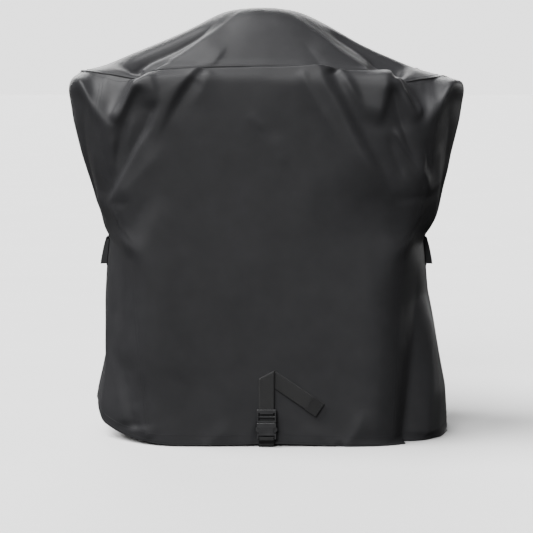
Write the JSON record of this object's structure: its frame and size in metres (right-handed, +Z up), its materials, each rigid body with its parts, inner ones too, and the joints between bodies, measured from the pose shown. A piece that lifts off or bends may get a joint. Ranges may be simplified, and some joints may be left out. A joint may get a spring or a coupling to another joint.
{
  "type": "grill cover",
  "caption": "Fitted fabric cover for a small cart grill, with a domed top, drawn-in ends, hooded side vents and a buckled hold-down strap that runs under the hem.",
  "frame": {"origin": "centre of the bounding box's base, on the surface that the hem and the strap rest on", "axes": "+Z up, the buckle's side faces -Y, +X is to the right for someone looking at the buckle"},
  "size_m": [0.78, 0.4528, 0.835],
  "materials": {
    "shell_fabric": "coated woven polyester, dull sheen",
    "binding_tape": "woven tape",
    "webbing": "ribbed nylon webbing",
    "buckle_plastic": "moulded acetal, soft gloss",
    "screen_mesh": "knitted screen",
    "stay_foam": "hook-and-loop stay, matte"
  },
  "bodies": {
    "cover": {"top_panel": "shell_fabric", "front_panel": "shell_fabric", "back_panel": "shell_fabric", "left_side_panel": "shell_fabric", "right_side_panel": "shell_fabric", "front_strap_patch": "shell_fabric", "back_strap_patch": "shell_fabric", "top_welt": "binding_tape", "hem_binding": "binding_tape", "front_left_seam_tape": "binding_tape", "front_right_seam_tape": "binding_tape", "back_left_seam_tape": "binding_tape", "back_right_seam_tape": "binding_tape", "left_vent_trim": "binding_tape", "right_vent_trim": "binding_tape", "under_strap": "webbing", "anchor_strap": "webbing", "buckle_female": "buckle_plastic", "left_vent_screen": "screen_mesh", "right_vent_screen": "screen_mesh", "left_vent_stay": "stay_foam", "right_vent_stay": "stay_foam"},
    "buckle_male": {"buckle_male": "buckle_plastic", "strap_tail": "webbing"},
    "left_prong": {"left_prong": "buckle_plastic"},
    "right_prong": {"right_prong": "buckle_plastic"},
    "left_vent_hood": {"left_vent_hood": "shell_fabric"},
    "right_vent_hood": {"right_vent_hood": "shell_fabric"}
  },
  "joints": [
    {"name": "buckle_release", "type": "slide", "parent": "cover", "child": "buckle_male", "axis": [0, 0, 1], "range_m": [0, 0.03], "deforming": ["left_prong", "right_prong"]},
    {"name": "left_prong_squeeze", "type": "hinge", "parent": "buckle_male", "child": "left_prong", "pos_m": [-0.0092, -0.2216, 0.0466], "axis": [0, -1, 0], "range_deg": [0, 20], "stiffness_Nm_per_rad": 0.35},
    {"name": "right_prong_squeeze", "type": "hinge", "parent": "buckle_male", "child": "right_prong", "pos_m": [0.0092, -0.2216, 0.0466], "axis": [0, 1, 0], "range_deg": [0, 20], "stiffness_Nm_per_rad": 0.35},
    {"name": "left_vent_open", "type": "hinge", "parent": "cover", "child": "left_vent_hood", "pos_m": [-0.3143, 0.0049, 0.386], "axis": [0, 1, 0], "range_deg": [0, 40]},
    {"name": "right_vent_open", "type": "hinge", "parent": "cover", "child": "right_vent_hood", "pos_m": [0.3143, 0.0049, 0.386], "axis": [0, -1, 0], "range_deg": [0, 40]}
  ]
}
